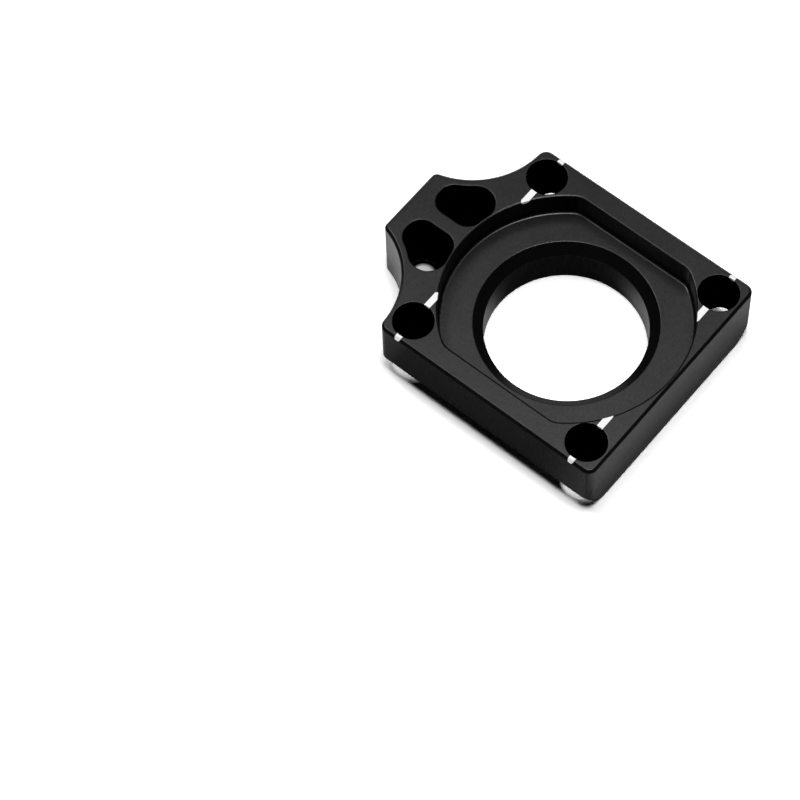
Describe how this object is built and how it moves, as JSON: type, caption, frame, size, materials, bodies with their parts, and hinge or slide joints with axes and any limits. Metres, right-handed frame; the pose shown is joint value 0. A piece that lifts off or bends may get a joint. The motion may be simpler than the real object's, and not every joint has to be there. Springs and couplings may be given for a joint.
{
  "type": "motorcycle chain adjuster block",
  "caption": "Square black anodised axle block with a recessed bore for the axle head, corner holes, white index marks and a pocketed nose that meets the adjuster bolt.",
  "frame": {"origin": "on the axle axis, in the plane of the underside", "axes": "+Z out of the recessed face along the axle, -X toward the nose that the adjuster bolt bears on, Y across the long sides"},
  "size_m": [0.0503, 0.04, 0.012],
  "materials": {
    "black_anodised": "black anodised, fine satin, machined",
    "index_paint": "matt white paint filled into the index grooves"
  },
  "bodies": {
    "root": {"adjuster_block": "black_anodised"}
  },
  "joints": []
}
